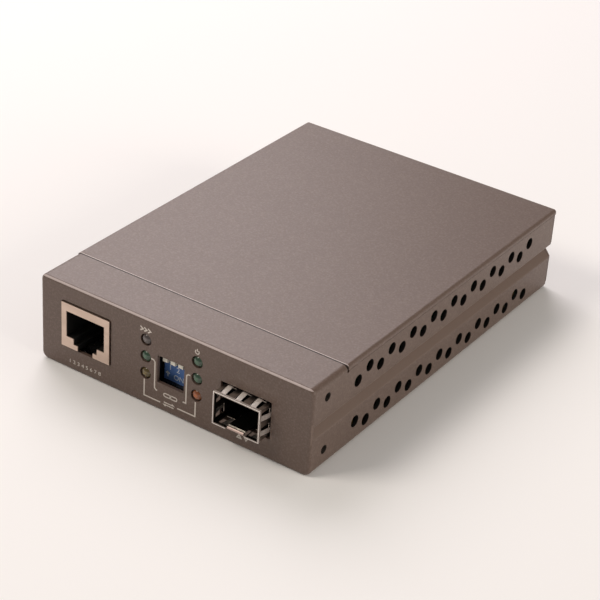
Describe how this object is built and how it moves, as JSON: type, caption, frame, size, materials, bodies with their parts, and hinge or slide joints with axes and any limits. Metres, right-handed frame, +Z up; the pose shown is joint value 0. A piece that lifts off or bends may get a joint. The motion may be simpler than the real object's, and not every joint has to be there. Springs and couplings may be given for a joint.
{
  "type": "fibre media converter",
  "caption": "Compact folded-steel case that converts copper Ethernet to optical fibre, with a shielded RJ45 socket, status LEDs, DIP switch and an SFP transceiver cage in its front panel.",
  "frame": {"origin": "centre of the case's underside", "axes": "+X to the right seen from the front panel, +Y towards the rear, +Z up"},
  "size_m": [0.088, 0.1295, 0.026],
  "materials": {
    "case_paint": "satin powder coat, taupe grey",
    "screw_steel": "zinc plated",
    "standoff_brass": "plain",
    "board_resin": "green solder mask",
    "shield_tin": "tin plated",
    "cage_steel": "nickel plated",
    "spring_bronze": "nickel-plated spring bronze",
    "contact_gold": "gold plated",
    "lead_tin": "tinned",
    "black_moulding": "moulded",
    "switch_blue": "moulded",
    "lever_white": "moulded",
    "led_clear": "clear epoxy, unlit",
    "led_green": "tinted epoxy, unlit",
    "led_yellow": "tinted epoxy, unlit",
    "led_amber": "tinted epoxy, unlit",
    "chip_black": "moulded",
    "sink_aluminium": "extruded",
    "ferrite": "ferrite",
    "can_aluminium": "drawn"
  },
  "bodies": {
    "case": {"base_tray": "case_paint", "top_cover": "case_paint", "cover_screws": "screw_steel", "circuit_board": "board_resin", "board_standoffs": "standoff_brass", "board_screws": "screw_steel", "rj45_shield": "shield_tin", "rj45_housing": "black_moulding", "rj45_contacts": "contact_gold", "sfp_cage": "cage_steel", "sfp_ground_springs": "spring_bronze", "sfp_connector": "black_moulding", "sfp_connector_contacts": "contact_gold", "dip_housing": "switch_blue", "dip_base": "black_moulding", "dip_axle": "lead_tin", "dip_terminals": "lead_tin", "led_holder_left": "black_moulding", "led_holder_right": "black_moulding", "led_leads_left": "lead_tin", "led_leads_right": "lead_tin", "led_yellow_left": "led_yellow", "led_green_left": "led_green", "led_clear_left": "led_clear", "led_amber_right": "led_amber", "led_green_right": "led_green", "led_power_right": "led_green", "dc_inlet_housing": "black_moulding", "dc_inlet_pin": "lead_tin", "dc_inlet_terminals": "lead_tin", "line_transformer": "chip_black", "converter_chip": "chip_black", "heat_sink": "sink_aluminium", "supply_regulator": "chip_black", "power_inductor": "ferrite", "capacitor_cans": "can_aluminium", "capacitor_bases": "black_moulding", "timing_crystal": "can_aluminium", "settings_memory": "chip_black"},
    "lever_1": {"dip_lever_1": "lever_white"},
    "lever_2": {"dip_lever_2": "lever_white"},
    "lever_3": {"dip_lever_3": "lever_white"},
    "lever_4": {"dip_lever_4": "lever_white"}
  },
  "joints": [
    {"name": "lever_1_rock", "type": "hinge", "parent": "case", "child": "lever_1", "pos_m": [-0.00351, -0.055, 0.0144], "axis": [1, 0, 0], "range_deg": [0, 20]},
    {"name": "lever_2_rock", "type": "hinge", "parent": "case", "child": "lever_2", "pos_m": [-0.00097, -0.055, 0.0144], "axis": [1, 0, 0], "range_deg": [0, 20]},
    {"name": "lever_3_rock", "type": "hinge", "parent": "case", "child": "lever_3", "pos_m": [0.00157, -0.055, 0.0144], "axis": [1, 0, 0], "range_deg": [0, 20]},
    {"name": "lever_4_rock", "type": "hinge", "parent": "case", "child": "lever_4", "pos_m": [0.00411, -0.055, 0.0144], "axis": [1, 0, 0], "range_deg": [0, 20]}
  ]
}
